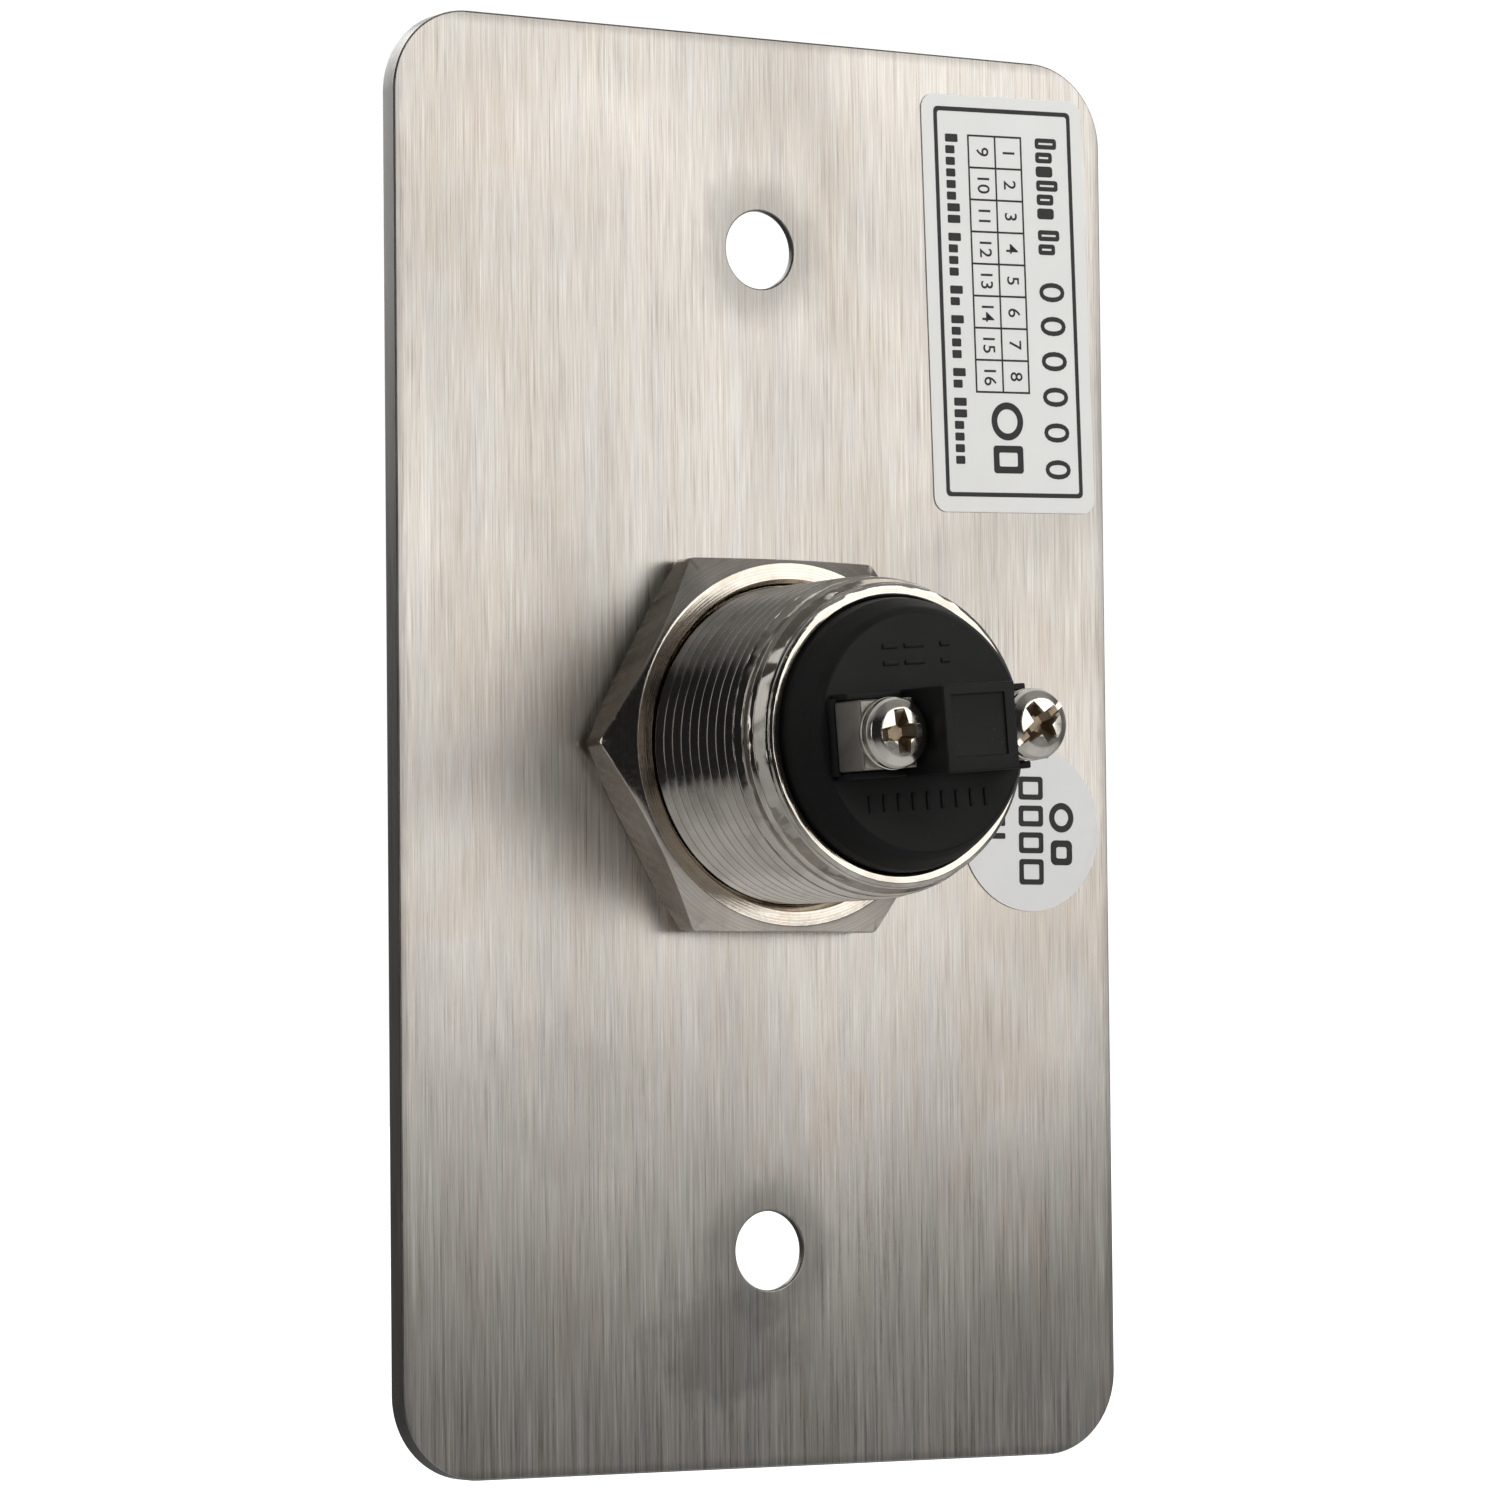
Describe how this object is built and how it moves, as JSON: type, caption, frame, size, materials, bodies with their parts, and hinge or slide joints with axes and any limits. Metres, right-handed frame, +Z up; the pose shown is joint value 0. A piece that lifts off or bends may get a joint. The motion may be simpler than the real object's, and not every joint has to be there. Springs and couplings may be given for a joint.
{
  "type": "push button switch on wall plate",
  "caption": "Momentary push button on a rounded steel wall plate, with a threaded barrel, hexagonal lock nut, black rear insert and screw terminals.",
  "frame": {"origin": "on the button's axis in the plane of the plate's rear face, midway between the two mounting holes", "axes": "+Z up along the plate's height, +Y out of the plate's rear face towards the terminals, -Y towards the person who presses the button"},
  "size_m": [0.07, 0.0416, 0.12],
  "materials": {
    "brushed_plate": "vertical brushed stainless steel",
    "nickel_barrel": "bright nickel plate on turned brass",
    "nickel_nut": "bright nickel plate, machined",
    "cap_steel": "polished stainless steel",
    "black_rubber": "matt",
    "black_nylon": "moulded, satin",
    "black_acetal": "moulded, smooth",
    "spring_steel": "drawn wire",
    "contact_brass": "stamped strip",
    "contact_silver": "silver alloy rivet",
    "terminal_nickel": "dull nickel plate",
    "screw_nickel": "bright nickel plate",
    "label_film": "white printed film, satin",
    "sticker_paper": "white paper, satin"
  },
  "bodies": {
    "plate_unit": {"wall_plate": "brushed_plate", "button_housing": "nickel_barrel", "bezel_gasket": "black_rubber", "lock_nut": "nickel_nut", "guide_disc": "black_acetal", "terminal_base": "black_nylon", "fixed_contact_left": "contact_brass", "fixed_contact_right": "contact_brass", "fixed_contact_rivets": "contact_silver", "terminal_block_left": "terminal_nickel", "terminal_block_right": "terminal_nickel", "serial_label": "label_film", "inspection_sticker": "sticker_paper", "return_spring": "spring_steel"},
    "push_unit": {"push_cap": "cap_steel", "cap_seal": "black_rubber", "plunger": "black_acetal", "contact_spring": "spring_steel", "contact_bridge": "contact_brass", "moving_contact_rivets": "contact_silver", "bridge_clip": "spring_steel"},
    "left_washer": {"clamp_washer_left": "screw_nickel"},
    "left_screw": {"terminal_screw_left": "screw_nickel"},
    "right_washer": {"clamp_washer_right": "screw_nickel"},
    "right_screw": {"terminal_screw_right": "screw_nickel"}
  },
  "joints": [
    {"name": "push_travel", "type": "slide", "parent": "plate_unit", "child": "push_unit", "axis": [0, 1, 0], "range_m": [0, 0.003], "stiffness_N_per_m": 900, "springref_m": -0.0015, "deforming": ["return_spring"]},
    {"name": "left_washer_lift", "type": "slide", "parent": "plate_unit", "child": "left_washer", "axis": [0, 1, 0], "range_m": [0, 0.002]},
    {"name": "left_screw_turn", "type": "hinge", "parent": "left_washer", "child": "left_screw", "pos_m": [0.00638, 0.0292, -0.00048], "axis": [0, 1, 0], "range_deg": [0, 1442]},
    {"name": "right_washer_lift", "type": "slide", "parent": "plate_unit", "child": "right_washer", "axis": [0, 1, 0], "range_m": [-0.001, 0.001]},
    {"name": "right_screw_turn", "type": "hinge", "parent": "right_washer", "child": "right_screw", "pos_m": [-0.00638, 0.0302, 0.00048], "axis": [0, 1, 0], "range_deg": [-722, 722]}
  ],
  "couplings": [
    {"joint": "left_screw_turn", "follows": "left_washer_lift", "rad_per_m": 12566},
    {"joint": "right_screw_turn", "follows": "right_washer_lift", "rad_per_m": 12566}
  ]
}
